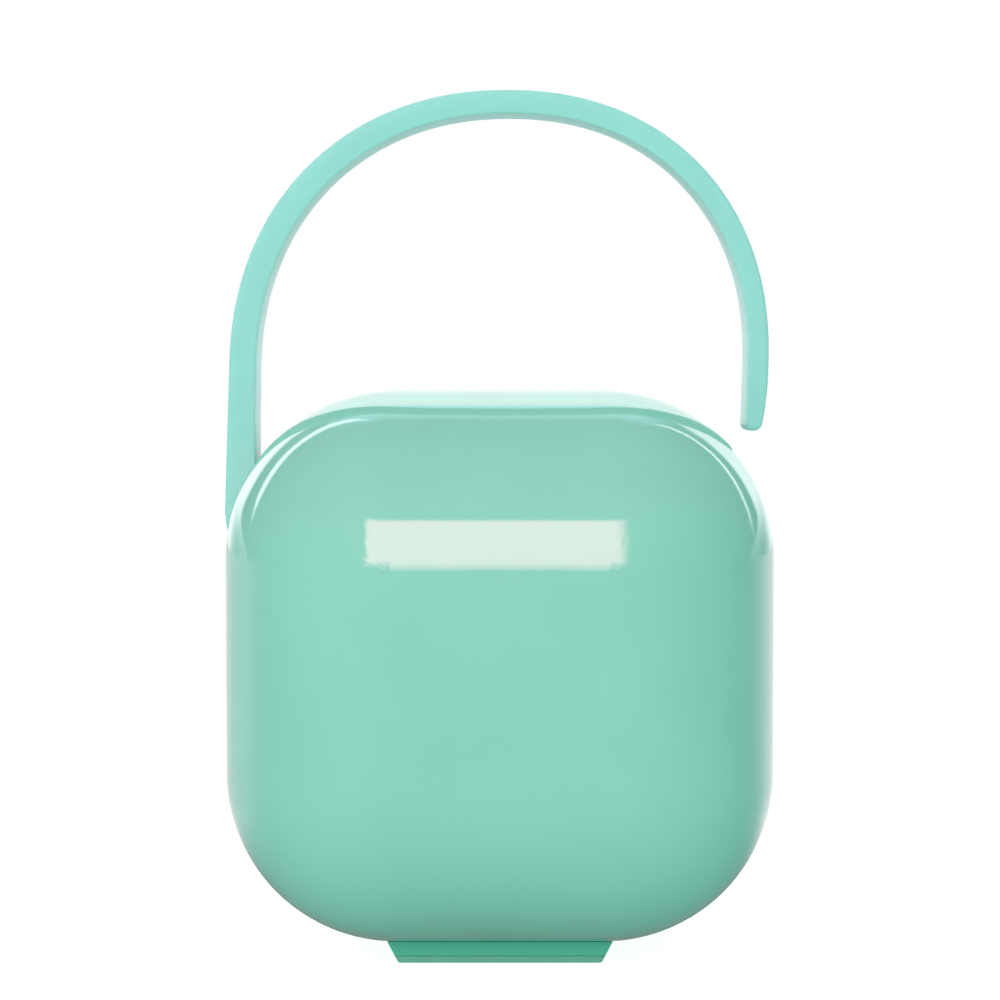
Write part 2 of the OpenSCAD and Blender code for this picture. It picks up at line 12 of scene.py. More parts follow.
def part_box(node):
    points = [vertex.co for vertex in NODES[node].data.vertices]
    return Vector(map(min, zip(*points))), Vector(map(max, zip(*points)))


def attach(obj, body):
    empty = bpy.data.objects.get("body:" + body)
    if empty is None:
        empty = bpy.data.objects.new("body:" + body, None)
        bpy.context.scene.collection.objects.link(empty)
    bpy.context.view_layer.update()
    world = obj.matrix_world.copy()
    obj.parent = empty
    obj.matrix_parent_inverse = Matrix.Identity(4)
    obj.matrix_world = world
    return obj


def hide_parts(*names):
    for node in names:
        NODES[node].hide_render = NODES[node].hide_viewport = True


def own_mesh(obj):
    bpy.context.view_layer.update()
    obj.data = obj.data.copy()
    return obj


bl_info = {
    "name": "Pacifier sterilizer case",
    "version": (1, 0, 0),
    "blender": (4, 5, 0),
    "location": "3D View > Sidebar > Sterilizer",
    "description": "Dresses the case's solids, builds its hook handle and lights it on a white table",
    "category": "Object",
}

MM = 0.001
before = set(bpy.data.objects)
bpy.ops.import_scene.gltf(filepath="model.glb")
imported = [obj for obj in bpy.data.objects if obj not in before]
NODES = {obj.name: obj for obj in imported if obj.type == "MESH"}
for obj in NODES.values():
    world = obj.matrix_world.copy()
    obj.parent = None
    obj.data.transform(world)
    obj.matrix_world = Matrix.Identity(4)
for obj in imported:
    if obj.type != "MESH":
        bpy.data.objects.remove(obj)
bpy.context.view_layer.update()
CASE_LOW, CASE_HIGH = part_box("front_lid")
CASE_MIDDLE_Z = (CASE_LOW.z + CASE_HIGH.z) / 2
HANDLE_TOP_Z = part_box("handle")[1].z


def hex_colour(text):
    """Linear colour of an sRGB hex value such as "8fd2c1"."""
    parts = [int(text[i : i + 2], 16) / 255 for i in (0, 2, 4)]
    return tuple(p / 12.92 if p <= 0.04045 else ((p + 0.055) / 1.055) ** 2.4 for p in parts)


def opaque(text):
    """The hex value's linear colour with the alpha that a socket wants."""
    return (*hex_colour(text), 1)


def colour_property(name, text, description):
    """Setting for a colour, given as a hex value."""
    return FloatVectorProperty(
        name=name, description=description, subtype="COLOR", size=3, min=0, max=1,
        default=hex_colour(text),
    )


def length_property(name, millimetres, description):
    """Setting for a length, given in millimetres."""
    return FloatProperty(
        name=name, description=description, default=millimetres * MM, min=0,
        subtype="DISTANCE", unit="LENGTH", precision=5,
    )


# ---------- settings ----------


class FinishSettings(PropertyGroup):
    """Colours of the case's finishes."""

    shell: colour_property("Shell", "8dd1bf", "Glossy mint plastic of the lid, rear shell and latch button")
    # The foot's deeper, darker mint is painted shade: it stands in for the shadow under the body's overhang.
    foot: colour_property("Foot", "5dd2b4", "Deeper mint plastic of the foot")
    handle: colour_property("Handle", "9cded5", "Paler satin plastic of the handle and the power button")
    rubber: colour_property("Rubber", "70c4ab", "Mint silicone of the foot's pad and the port cover")
    seal: colour_property("Seal", "e2ebe8", "Milky silicone of the chamber's seals")
    white_plastic: colour_property("White plastic", "eceeed", "Moulded rack and inner frame")
    board: colour_property("Circuit board", "1d6b45", "Solder mask of the two boards")


class HandleSettings(PropertyGroup):
    """Sizes of the hook handle."""

    depth: length_property("Depth", 9, "Front to back")
    spring_height: length_property("Spring height", 79, "Height where the arch turns into its legs")
    half_outside: length_property("Half width outside", 36.35, "Half width of the arch outside")
    half_inside: length_property("Half width inside", 33.13, "Half width of the arch inside")
    top_thickness: length_property("Top thickness", 3.1, "Thickness at the top of the arch")
    tip_height: length_property("Tip height", 70, "Height of the free tip's end")
    root_height: length_property("Root height", 49, "Height of the centre of the root's round end")
    squareness: FloatProperty(
        name="Squareness", description="Exponent of the arch's curve: 2 is an ellipse",
        default=2.16, min=2, max=3,
    )
    lean: FloatProperty(
        name="Lean", description="Sideways lean of the arch for each unit of height",
        default=0.03, min=0, max=0.1,
    )
    steps: IntProperty(name="Steps", description="Sections along the arch", default=96, min=24, max=200)


class StageSettings(PropertyGroup):
    """Camera, lamps and floor."""

    camera_distance: length_property("Camera distance", 350, "From the camera to the case's parting plane")
    camera_height: length_property("Camera height", 75.7, "Height of the camera above the table")
    camera_tilt: FloatProperty(
        name="Camera tilt", description="Downward tilt of the camera",
        default=math.radians(2.45), subtype="ANGLE",
    )
    lens: FloatProperty(
        name="Lens", description="Focal length in mm on a 36 mm sensor", default=93.9, min=20,
    )
    key_power: FloatProperty(
        name="Key power", description="Power of the soft key lamp", default=2.8, min=0, unit="POWER",
    )
    back_power: FloatProperty(
        name="Back power", description="Power of the soft lamp above and behind the case",
        default=2.2, min=0, unit="POWER",
    )
    lamp_colour: colour_property("Lamp colour", "ffd3d9", "Pinkish, against the case's own green bounce")
    # The table's mint is painted light: it stands in for the case's green light bounced between table and
    # case.
    floor_painted_bounce: colour_property("Floor", "b2eae2", "Greened by the case; lifted to white for the camera")


# ---------- materials ----------


def add_node(tree, kind, inputs=None, **settings):
    """Adds one shader node. An input that is another node's socket is linked; any other value is set."""
    made = tree.nodes.new(kind)
    for name, value in settings.items():
        setattr(made, name, value)
    for name, value in (inputs or {}).items():
        if isinstance(value, bpy.types.NodeSocket):
            tree.links.new(value, made.inputs[name])
        else:
            made.inputs[name].default_value = value
    return made


def new_material(name):
    """An empty node material: itself, its tree and its object coordinates."""
    material = bpy.data.materials.new(name)
    material.use_nodes = True
    tree = material.node_tree
    tree.nodes.clear()
    return material, tree, add_node(tree, "ShaderNodeTexCoord").outputs["Object"]


def scaled(colour, factor):
    """The linear colour made lighter or darker, with the alpha that a socket wants."""
    return (*(min(1.0, c * factor) for c in colour), 1)


def gloss_abs(name, colour):
    """ABS from a polished mould: deep gloss, pigment a little cloudy, and a long faint ripple where the
    wall sank."""
    material, tree, where = new_material(name)
    cloud = add_node(tree, "ShaderNodeTexNoise", {"Vector": where, "Scale": 1 / (14 * MM), "Detail": 3})
    pigment = add_node(tree, "ShaderNodeMix", {
        0: cloud.outputs["Fac"], 6: scaled(colour, 0.96), 7: scaled(colour, 1.04),
    }, data_type="RGBA")
    haze = add_node(tree, "ShaderNodeTexNoise", {"Vector": where, "Scale": 1 / (6 * MM), "Detail": 2})
    gloss = add_node(tree, "ShaderNodeMapRange", {
        "Value": haze.outputs["Fac"], "To Min": 0.045, "To Max": 0.1,
    })
    sink = add_node(tree, "ShaderNodeTexNoise", {"Vector": where, "Scale": 1 / (2.4 * MM), "Detail": 1})
    ripple = add_node(tree, "ShaderNodeBump", {"Height": sink.outputs["Fac"], "Distance": 0.003 * MM})
    shader = add_node(tree, "ShaderNodeBsdfPrincipled", {
        "Base Color": pigment.outputs[2], "Roughness": gloss.outputs[0], "Normal": ripple.outputs[0],
        "IOR": 1.54,
    })
    add_node(tree, "ShaderNodeOutputMaterial", {"Surface": shader.outputs[0]})
    return material


def satin_polypropylene(name, colour):
    """Springy polypropylene: satin and milky, so that light bleeds through its thin edges, with soft flow
    lines and a fine spark grain of 0.35 mm, coarser than the real one so that it shows."""
    material, tree, where = new_material(name)
    flow = add_node(tree, "ShaderNodeTexNoise", {
        "Vector": where, "Scale": 1 / (5 * MM), "Detail": 4, "Roughness": 0.6,
    })
    milk = add_node(tree, "ShaderNodeMix", {
        0: flow.outputs["Fac"], 6: scaled(colour, 0.94), 7: scaled(colour, 1.06),
    }, data_type="RGBA")
    satin = add_node(tree, "ShaderNodeMapRange", {
        "Value": flow.outputs["Fac"], "To Min": 0.3, "To Max": 0.42,
    })
    grain = add_node(tree, "ShaderNodeTexNoise", {"Vector": where, "Scale": 1 / (0.35 * MM), "Detail": 2})
    relief = add_node(tree, "ShaderNodeBump", {"Height": grain.outputs["Fac"], "Distance": 0.004 * MM})
    shader = add_node(tree, "ShaderNodeBsdfPrincipled", {
        "Base Color": milk.outputs[2], "Roughness": satin.outputs[0], "Normal": relief.outputs[0],
        "IOR": 1.49,
        "Subsurface Weight": 0.5, "Subsurface Radius": (1, 1, 1), "Subsurface Scale": 2 * MM,
    })
    add_node(tree, "ShaderNodeOutputMaterial", {"Surface": shader.outputs[0]})
    return material


def metallised_abs(name):
    """ABS cup with vacuum-deposited aluminium under a coolly tinted lacquer: a mirror that shows the
    moulding's waviness and faint wiping haze."""
    material, tree, where = new_material(name)
    wave = add_node(tree, "ShaderNodeTexNoise", {"Vector": where, "Scale": 1 / (7 * MM), "Detail": 2})
    metal = add_node(tree, "ShaderNodeMix", {
        0: wave.outputs["Fac"], 6: opaque("c7dcd9"), 7: opaque("daedeb"),
    }, data_type="RGBA")
    wiping = add_node(tree, "ShaderNodeTexNoise", {"Vector": where, "Scale": 1 / (1.5 * MM), "Detail": 3})
    haze = add_node(tree, "ShaderNodeMapRange", {
        "Value": wiping.outputs["Fac"], "To Min": 0.04, "To Max": 0.16,
    })
    relief = add_node(tree, "ShaderNodeBump", {"Height": wave.outputs["Fac"], "Distance": 0.02 * MM})
    shader = add_node(tree, "ShaderNodeBsdfPrincipled", {
        "Base Color": metal.outputs[2], "Roughness": haze.outputs[0], "Normal": relief.outputs[0],
        "Metallic": 1.0,
    })
    add_node(tree, "ShaderNodeOutputMaterial", {"Surface": shader.outputs[0]})
    return material


def moulded_silicone(name, colour, dust):
    """Compression-moulded silicone: matt, its fine sparked skin lighter where dust clings, by up to the
    given share."""
    material, tree, where = new_material(name)
    cling = add_node(tree, "ShaderNodeTexNoise", {"Vector": where, "Scale": 1 / (3 * MM), "Detail": 4})
    patches = add_node(tree, "ShaderNodeMapRange", {
        "Value": cling.outputs["Fac"], "From Min": 0.4, "From Max": 0.8, "To Max": dust,
    })
    skin = add_node(tree, "ShaderNodeMix", {
        0: patches.outputs[0], 6: scaled(colour, 1), 7: scaled(colour, 1.15),
    }, data_type="RGBA")
    spark = add_node(tree, "ShaderNodeTexNoise", {"Vector": where, "Scale": 1 / (0.22 * MM), "Detail": 3})
    matt = add_node(tree, "ShaderNodeMapRange", {
        "Value": spark.outputs["Fac"], "To Min": 0.45, "To Max": 0.7,
    })
    relief = add_node(tree, "ShaderNodeBump", {"Height": spark.outputs["Fac"], "Distance": 0.012 * MM})
    shader = add_node(tree, "ShaderNodeBsdfPrincipled", {
        "Base Color": skin.outputs[2], "Roughness": matt.outputs[0], "Normal": relief.outputs[0],
        "IOR": 1.41,
    })
    add_node(tree, "ShaderNodeOutputMaterial", {"Surface": shader.outputs[0]})
    return material


def moulded_nylon(name, colour):
    """Nylon from a spark-eroded mould: even fine grain, drawn 0.3 mm so that it shows, and a dull sheen."""
    material, tree, where = new_material(name)
    cloud = add_node(tree, "ShaderNodeTexNoise", {"Vector": where, "Scale": 1 / (9 * MM), "Detail": 2})
    body = add_node(tree, "ShaderNodeMix", {
        0: cloud.outputs["Fac"], 6: scaled(colour, 0.92), 7: scaled(colour, 1),
    }, data_type="RGBA")
    grain = add_node(tree, "ShaderNodeTexNoise", {"Vector": where, "Scale": 1 / (0.3 * MM), "Detail": 2})
    sheen = add_node(tree, "ShaderNodeMapRange", {
        "Value": grain.outputs["Fac"], "To Min": 0.36, "To Max": 0.6,
    })
    relief = add_node(tree, "ShaderNodeBump", {"Height": grain.outputs["Fac"], "Distance": 0.01 * MM})
    shader = add_node(tree, "ShaderNodeBsdfPrincipled", {
        "Base Color": body.outputs[2], "Roughness": sheen.outputs[0], "Normal": relief.outputs[0],
        "IOR": 1.53,
    })
    add_node(tree, "ShaderNodeOutputMaterial", {"Surface": shader.outputs[0]})
    return material


def turned_steel(name):
    """Bright stainless steel with turning marks, drawn 1.2 mm apart so that they show."""
    material, tree, where = new_material(name)
    marks = add_node(tree, "ShaderNodeTexWave", {
        "Vector": where, "Scale": 1 / (1.2 * MM), "Distortion": 1.5, "Detail": 2,
    }, wave_type="BANDS", bands_direction="DIAGONAL")
    metal = add_node(tree, "ShaderNodeMix", {
        0: marks.outputs["Fac"], 6: opaque("b4b6ba"), 7: opaque("c8cacd"),
    }, data_type="RGBA")
    brightness = add_node(tree, "ShaderNodeMapRange", {
        "Value": marks.outputs["Fac"], "To Min": 0.22, "To Max": 0.34,
    })
    relief = add_node(tree, "ShaderNodeBump", {"Height": marks.outputs["Fac"], "Distance": 0.003 * MM})
    shader = add_node(tree, "ShaderNodeBsdfPrincipled", {
        "Base Color": metal.outputs[2], "Roughness": brightness.outputs[0], "Normal": relief.outputs[0],
        "Metallic": 1.0,
    })
    add_node(tree, "ShaderNodeOutputMaterial", {"Surface": shader.outputs[0]})
    return material


def plated_nickel(name):
    """Nickel plate over a sintered magnet: warm grey shine with faint orange peel."""
    material, tree, where = new_material(name)
    peel = add_node(tree, "ShaderNodeTexNoise", {"Vector": where, "Scale": 1 / (0.6 * MM), "Detail": 2})
    metal = add_node(tree, "ShaderNodeMix", {
        0: peel.outputs["Fac"], 6: opaque("b9b6ae"), 7: opaque("c9c6be"),
    }, data_type="RGBA")
    shine = add_node(tree, "ShaderNodeMapRange", {
        "Value": peel.outputs["Fac"], "To Min": 0.1, "To Max": 0.22,
    })
    relief = add_node(tree, "ShaderNodeBump", {"Height": peel.outputs["Fac"], "Distance": 0.004 * MM})
    shader = add_node(tree, "ShaderNodeBsdfPrincipled", {
        "Base Color": metal.outputs[2], "Roughness": shine.outputs[0], "Normal": relief.outputs[0],
        "Metallic": 1.0,
    })
    add_node(tree, "ShaderNodeOutputMaterial", {"Surface": shader.outputs[0]})
    return material


def fused_quartz(name):
    """Polished quartz window: clear, with a barely seen cold tint and a few wiping streaks."""
    material, tree, where = new_material(name)
    streak = add_node(tree, "ShaderNodeTexNoise", {"Vector": where, "Scale": 1 / (4 * MM), "Detail": 3})
    tint = add_node(tree, "ShaderNodeMix", {
        0: streak.outputs["Fac"], 6: opaque("eef6fb"), 7: opaque("fbfdff"),
    }, data_type="RGBA")
    polish = add_node(tree, "ShaderNodeMapRange", {
        "Value": streak.outputs["Fac"], "From Min": 0.4, "From Max": 0.8, "To Min": 0.01, "To Max": 0.05,
    })
    shader = add_node(tree, "ShaderNodeBsdfPrincipled", {
        "Base Color": tint.outputs[2], "Roughness": polish.outputs[0], "IOR": 1.46,
        "Transmission Weight": 1.0,
    })
    add_node(tree, "ShaderNodeOutputMaterial", {"Surface": shader.outputs[0]})
    return material


def solder_mask(name, colour):
    """Green solder mask over etched copper: the tracks show through as raised, lighter lines 0.36 mm
    wide."""
    material, tree, where = new_material(name)
    upright = add_node(tree, "ShaderNodeMapping", {"Vector": where, "Rotation": (math.radians(90), 0, 0)})
    tracks = add_node(tree, "ShaderNodeTexBrick", {
        "Vector": upright.outputs[0], "Scale": 1.0, "Brick Width": 4.2 * MM, "Row Height": 1.3 * MM,
        "Mortar Size": 0.18 * MM, "Mortar Smooth": 0.2,
    }, offset=0.35)
    mask = add_node(tree, "ShaderNodeMix", {
        0: tracks.outputs["Fac"], 6: scaled(colour, 1), 7: scaled(colour, 1.7),
    }, data_type="RGBA")
    orange_peel = add_node(tree, "ShaderNodeTexNoise", {
        "Vector": where, "Scale": 1 / (0.8 * MM), "Detail": 2,
    })
    gloss = add_node(tree, "ShaderNodeMapRange", {
        "Value": orange_peel.outputs["Fac"], "To Min": 0.2, "To Max": 0.42,
    })
    relief = add_node(tree, "ShaderNodeBump", {"Height": tracks.outputs["Fac"], "Distance": 0.03 * MM})
    shader = add_node(tree, "ShaderNodeBsdfPrincipled", {
        "Base Color": mask.outputs[2], "Roughness": gloss.outputs[0], "Normal": relief.outputs[0],
        "IOR": 1.5,
    })
    add_node(tree, "ShaderNodeOutputMaterial", {"Surface": shader.outputs[0]})
    return material


def sintered_alumina(name):
    """Sintered alumina body of the lamps: off-white and chalky, with pinholes."""
    material, tree, where = new_material(name)
    pores = add_node(tree, "ShaderNodeTexNoise", {"Vector": where, "Scale": 1 / (0.25 * MM), "Detail": 4})
    chalk = add_node(tree, "ShaderNodeMix", {
        0: pores.outputs["Fac"], 6: opaque("ded9c6"), 7: opaque("f3f0e2"),
    }, data_type="RGBA")
    matt = add_node(tree, "ShaderNodeMapRange", {
        "Value": pores.outputs["Fac"], "To Min": 0.3, "To Max": 0.65,
    })
    relief = add_node(tree, "ShaderNodeBump", {"Height": pores.outputs["Fac"], "Distance": 0.01 * MM})
    shader = add_node(tree, "ShaderNodeBsdfPrincipled", {
        "Base Color": chalk.outputs[2], "Roughness": matt.outputs[0], "Normal": relief.outputs[0],
        "IOR": 1.76,
    })
    add_node(tree, "ShaderNodeOutputMaterial", {"Surface": shader.outputs[0]})
    return material


def pouch_foil(name):
    """Aluminium laminate of the pouch cell: dull silver, softly creased by the vacuum."""
    material, tree, where = new_material(name)
    crease = add_node(tree, "ShaderNodeTexNoise", {
        "Vector": where, "Scale": 1 / (5 * MM), "Detail": 5, "Roughness": 0.6,
    })
    foil = add_node(tree, "ShaderNodeMix", {
        0: crease.outputs["Fac"], 6: opaque("a9afb6"), 7: opaque("c9ced4"),
    }, data_type="RGBA")
    dull = add_node(tree, "ShaderNodeMapRange", {
        "Value": crease.outputs["Fac"], "To Min": 0.26, "To Max": 0.5,
    })
    relief = add_node(tree, "ShaderNodeBump", {"Height": crease.outputs["Fac"], "Distance": 0.12 * MM})
    shader = add_node(tree, "ShaderNodeBsdfPrincipled", {
        "Base Color": foil.outputs[2], "Roughness": dull.outputs[0], "Normal": relief.outputs[0],
        "Metallic": 0.85,
    })
    add_node(tree, "ShaderNodeOutputMaterial", {"Surface": shader.outputs[0]})
    return material


def cast_acrylic(name):
    """Cast acrylic light pipe: clear, but milky enough to spread the lamp's light."""
    material, tree, where = new_material(name)
    cloud = add_node(tree, "ShaderNodeTexNoise", {"Vector": where, "Scale": 1 / (1.2 * MM), "Detail": 2})
    tint = add_node(tree, "ShaderNodeMix", {
        0: cloud.outputs["Fac"], 6: opaque("e6f3ee"), 7: opaque("f7fdfb"),
    }, data_type="RGBA")
    gloss = add_node(tree, "ShaderNodeMapRange", {
        "Value": cloud.outputs["Fac"], "To Min": 0.1, "To Max": 0.24,
    })
    shader = add_node(tree, "ShaderNodeBsdfPrincipled", {
        "Base Color": tint.outputs[2], "Roughness": gloss.outputs[0], "IOR": 1.49,
        "Transmission Weight": 0.6,
    })
    add_node(tree, "ShaderNodeOutputMaterial", {"Surface": shader.outputs[0]})
    return material


def dress(material, *names):
    """Puts one material on these CAD nodes."""
    for name in names:
        slots = NODES[name].data.materials
        slots.clear()
        slots.append(material)


# ---------- shapes ----------


def power(value, exponent):
    """The value's size raised to the exponent, with the value's sign."""
    return math.copysign(abs(value) ** exponent, value)


def ease(value):
    """Smooth step: 0 up to 0, 1 from 1."""
    value = min(1.0, max(0.0, value))
    return value * value * (3 - 2 * value)


def link_mesh(name, bm, material):
    """Turns a bmesh into an object of the scene."""
    mesh = bpy.data.meshes.new(name)
    bm.to_mesh(mesh)
    bm.free()
    mesh.materials.append(material)
    made = bpy.data.objects.new(name, mesh)
    bpy.context.scene.collection.objects.link(made)
    return made


def make_piece(name, bm, body, material):
    """Turns a bmesh into a smooth piece that rides on a body."""
    bmesh.ops.recalc_face_normals(bm, faces=bm.faces)
    piece = link_mesh(name, bm, material)
    piece.data.shade_smooth()
    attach(piece, body)
    return piece


def sweep(bm, rings):
    """Extrudes an outline from ring to ring of points and closes both ends."""
    count = len(rings[0])
    ring = bmesh.ops.create_circle(bm, segments=count, radius=1.0, cap_ends=False)["verts"]
    first = list(ring)
    for index, points in enumerate(rings):
        if index:
            order = {v: k for k, v in enumerate(ring)}
            edges = [e for e in dict.fromkeys(edge for v in ring for edge in v.link_edges)
                     if e.verts[0] in order and e.verts[1] in order]
            made = bmesh.ops.extrude_edge_only(bm, edges=edges)["geom"]
            pair = {}
            for v in made:
                if isinstance(v, bmesh.types.BMVert):
                    partner = next(e.other_vert(v) for e in v.link_edges if e.other_vert(v) in order)
                    pair[order[partner]] = v
            ring = [pair[k] for k in range(count)]
        for vertex, point in zip(ring, points):
            vertex.co = point
    bmesh.ops.contextual_create(bm, geom=first)
    bmesh.ops.contextual_create(bm, geom=ring)


# Section of the handle: its front face, its rounded corners, how far its flanks lean back at the top of the
# arch, from what share of the half thickness on, and the most of the half thickness that all this may take.
HANDLE_FRONT_Y = 1.5 * MM
OUTER_ROUND = 0.6 * MM
INNER_ROUND = 0.25 * MM
CROWN_DROP = 0.35 * MM
CROWN_FROM = 0.2
OUTER_LIMIT = 0.9
INNER_LIMIT = 0.4
CORNER_STEPS = 6
FLANK_STEPS = 6

# Arch: how far its outer curve lies left of the middle and its inner one right of it, in millimetres, and
# how soon the crown fades towards the legs.
OUTER_SHIFT = 0.15
INNER_SHIFT = 0.27
CROWN_FADE = 0.7

# Free tip: the bow of its outer face in millimetres for each square millimetre of fall and the lean of its
# inner face for each millimetre. Then its rounded end: the share of the fall that it takes, the share of the
# thickness that is left and the depth that is lost at the very end.
TIP_BOW = 0.0125
TIP_LEAN = 0.03
TIP_ROUND = 0.1
TIP_THIN = 0.28
TIP_NARROW = 0.9 * MM
TIP_STEPS = 6
TIP_DROPS = (0.76, 0.6, 0.45, 0.3, 0.15)

# Root, with heights in millimetres: the lean of both faces, where the outer face is flush with the case's
# side and over what height it gets there, the pocket that takes the root, and its round end.
ROOT_LEAN_OUTSIDE = 0.035
ROOT_LEAN_INSIDE = 0.02
FLUSH_HEIGHT = 51.5
FLUSH_RISE = 8
POCKET_TOP = 70
POCKET_FLOOR_X = -33 * MM
ROOT_HEIGHTS = range(77, 50, -2)
ROOT_STEPS = 8
ROOT_TURN = 86


def handle_section(half, depth, crown):
    """Points round the handle's section: u outward over the thickness, v over the depth. The outer corners
    are well rounded, and where the crown is 1 each flank leans back towards a crisp inner edge."""
    outer = min(OUTER_ROUND, half * OUTER_LIMIT)
    inner = min(INNER_ROUND, half * INNER_LIMIT)
    edge = depth / 2
    drop = crown * min(CROWN_DROP, half * INNER_LIMIT)

    def arc(u, v, radius, start):
        return [(u + radius * math.cos(a), v + radius * math.sin(a))
                for a in (start + math.pi / 2 * k / CORNER_STEPS for k in range(CORNER_STEPS + 1))]

    def flank_drop(u):
        return drop * max(0.0, CROWN_FROM - u / half) ** 2 / (1 + CROWN_FROM) ** 2

    first, last = half - outer, inner - half
    flank = [first + (last - first) * k / FLANK_STEPS for k in range(1, FLANK_STEPS)]
    back = [(u, edge - flank_drop(u)) for u in flank]
    inner_v = edge - inner - flank_drop(last)
    rounds = arc(first, edge - outer, outer, 0) + back + arc(last, inner_v, inner, math.pi / 2)
    return rounds + [(u, -v) for u, v in reversed(rounds)]


class StationMaker:
    """Outer and inner points along the handle, from its free tip to its root."""

    def __init__(self, sizes):
        self.sizes = sizes
        self.rise = HANDLE_TOP_Z - sizes.spring_height

    def arch(self, angle, shift, half, rise):
        """Point on one of the arch's curves at this angle from its right end."""
        bend = 2 / self.sizes.squareness
        up = rise * power(math.sin(angle), bend)
        across = shift + self.sizes.lean * up + half * power(math.cos(angle), bend)
        return Vector((across, 0, self.sizes.spring_height + up))

    def tip(self, drop, shrink):
        """Outer and inner point at this share of the free tip's fall, the thickness shrunk to a share."""
        fall = drop * (self.sizes.spring_height - self.sizes.tip_height)
        millimetres = fall / MM
        outer = self.sizes.half_outside - (OUTER_SHIFT + TIP_BOW * millimetres**2) * MM
        inner = self.sizes.half_inside + (INNER_SHIFT - TIP_LEAN * millimetres) * MM
        middle, half = (outer + inner) / 2, (outer - inner) / 2 * shrink
        z = self.sizes.spring_height - fall
        return Vector((middle + half, 0, z)), Vector((middle - half, 0, z))

    def root(self, z):
        """Outer and inner point at this height of the rooted leg, which sinks into the case's side."""
        fall = (self.sizes.spring_height - z) / MM
        proud = -self.sizes.half_outside - (OUTER_SHIFT + ROOT_LEAN_OUTSIDE * fall) * MM
        outer = CASE_LOW.x + (proud - CASE_LOW.x) * ease((z / MM - FLUSH_HEIGHT) / FLUSH_RISE)
        inner = -self.sizes.half_inside + (INNER_SHIFT - ROOT_LEAN_INSIDE * fall) * MM
        if z < POCKET_TOP * MM:
            inner = POCKET_FLOOR_X
        return Vector((outer, 0, z)), Vector((inner, 0, z))

    def stations(self):
        """Each is (outer point, inner point, depth, crown)."""
        depth = self.sizes.depth
        inner_rise = self.rise - self.sizes.top_thickness
        found = []
        for k in range(TIP_STEPS + 1):
            turn = math.radians(90 * (1 - k / TIP_STEPS))
            drop = 1 - (1 - math.sin(turn)) * TIP_ROUND
            shrink = TIP_THIN + (1 - TIP_THIN) * math.cos(turn)
            found.append((*self.tip(drop, shrink), depth - TIP_NARROW * math.sin(turn) ** 2, 0))
        found += [(*self.tip(drop, 1.0), depth, 0) for drop in TIP_DROPS]
        for k in range(self.sizes.steps + 1):
            angle = math.pi * k / self.sizes.steps
            outer = self.arch(angle, -OUTER_SHIFT * MM, self.sizes.half_outside, self.rise)
            inner = self.arch(angle, INNER_SHIFT * MM, self.sizes.half_inside, inner_rise)
            found.append((outer, inner, depth, math.sin(angle) ** CROWN_FADE))
        found += [(*self.root(height * MM), depth, 0) for height in ROOT_HEIGHTS]
        outer, inner = self.root(self.sizes.root_height)
        for k in range(ROOT_STEPS + 1):
            turn = math.radians(ROOT_TURN * k / ROOT_STEPS)
            fall = Vector((0, 0, -depth / 2 * math.sin(turn)))
            found.append((outer + fall, inner + fall, depth * math.cos(turn), 0))
        return found


def handle_rings(sizes):
    """Points round the handle's section at every station."""
    middle_y = HANDLE_FRONT_Y + sizes.depth / 2
    rings = []
    for outer, inner, depth, crown in StationMaker(sizes).stations():
        middle, across = (outer + inner) / 2, (outer - inner) / 2
        rings.append([middle + across.normalized() * u + Vector((0, middle_y + v, 0))
                      for u, v in handle_section(across.length, depth, crown)])
    return rings


# Latch spring
WIRE_RADIUS = 0.18 * MM
WIRE_SIDES = 10
SPRING_TURNS = 5
SPRING_STEPS = 24


def spring_rings(low, high):
    """Points round the wire of a coil spring that lies along x and fills this box."""
    middle = (low + high) / 2
    coil_radius = (high.z - low.z) / 2 - WIRE_RADIUS
    last = SPRING_TURNS * SPRING_STEPS
    rings = []
    for k in range(last + 1):
        turn = math.tau * k / SPRING_STEPS
        out = Vector((0, math.cos(turn), math.sin(turn)))
        x = low.x + WIRE_RADIUS + (high.x - low.x - 2 * WIRE_RADIUS) * k / last
        centre = Vector((x, middle.y, middle.z)) + out * coil_radius
        rings.append([centre + out * WIRE_RADIUS * math.cos(a) + Vector((WIRE_RADIUS * math.sin(a), 0, 0))
                      for a in (math.tau * j / WIRE_SIDES for j in range(WIRE_SIDES))])
    return rings


# ---------- operators ----------


class CASE_OT_dress_shells(Operator):
    """Gives the lid, the rear shell, the latch button and the foot their glossy mint finish"""

    bl_idname = "case.dress_shells"
    bl_label = "Dress shells"

    def execute(self, context):
        colours = context.scene.case_finish
        dress(gloss_abs("polished_mould_abs", colours.shell), "front_lid", "rear_shell", "latch_button")
        # The foot gets the shell's gloss in a deeper, darker mint: painted shade under the body's overhang.
        dress(gloss_abs("foot_abs_painted_shade", colours.foot), "foot")
        dress(satin_polypropylene("button_polypropylene", colours.handle), "power_button")
        dress(moulded_silicone("mint_silicone", colours.rubber, 0.5), "foot_pad", "port_cover")
        dress(cast_acrylic("cast_acrylic"), "indicator_lens")
        return {"FINISHED"}


class CASE_OT_build_handle(Operator):
    """Builds the hook handle with its rounded, slightly crowned section"""

    bl_idname = "case.build_handle"
    bl_label = "Build handle"

    def execute(self, context):
        bm = bmesh.new()
        sweep(bm, handle_rings(context.scene.case_handle))
        material = satin_polypropylene("satin_polypropylene", context.scene.case_finish.handle)
        handle = make_piece("hook_handle", bm, "base", material)
        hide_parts("handle")
        return {"FINISHED"}


class CASE_OT_build_spring(Operator):
    """Builds the latch button's coil spring"""

    bl_idname = "case.build_spring"
    bl_label = "Build spring"

    def execute(self, context):
        low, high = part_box("latch_spring")
        bm = bmesh.new()
        sweep(bm, spring_rings(low, high))
        spring = make_piece("coil_spring", bm, "base", turned_steel("spring_steel"))
        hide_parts("latch_spring")
        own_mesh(spring)
        return {"FINISHED"}


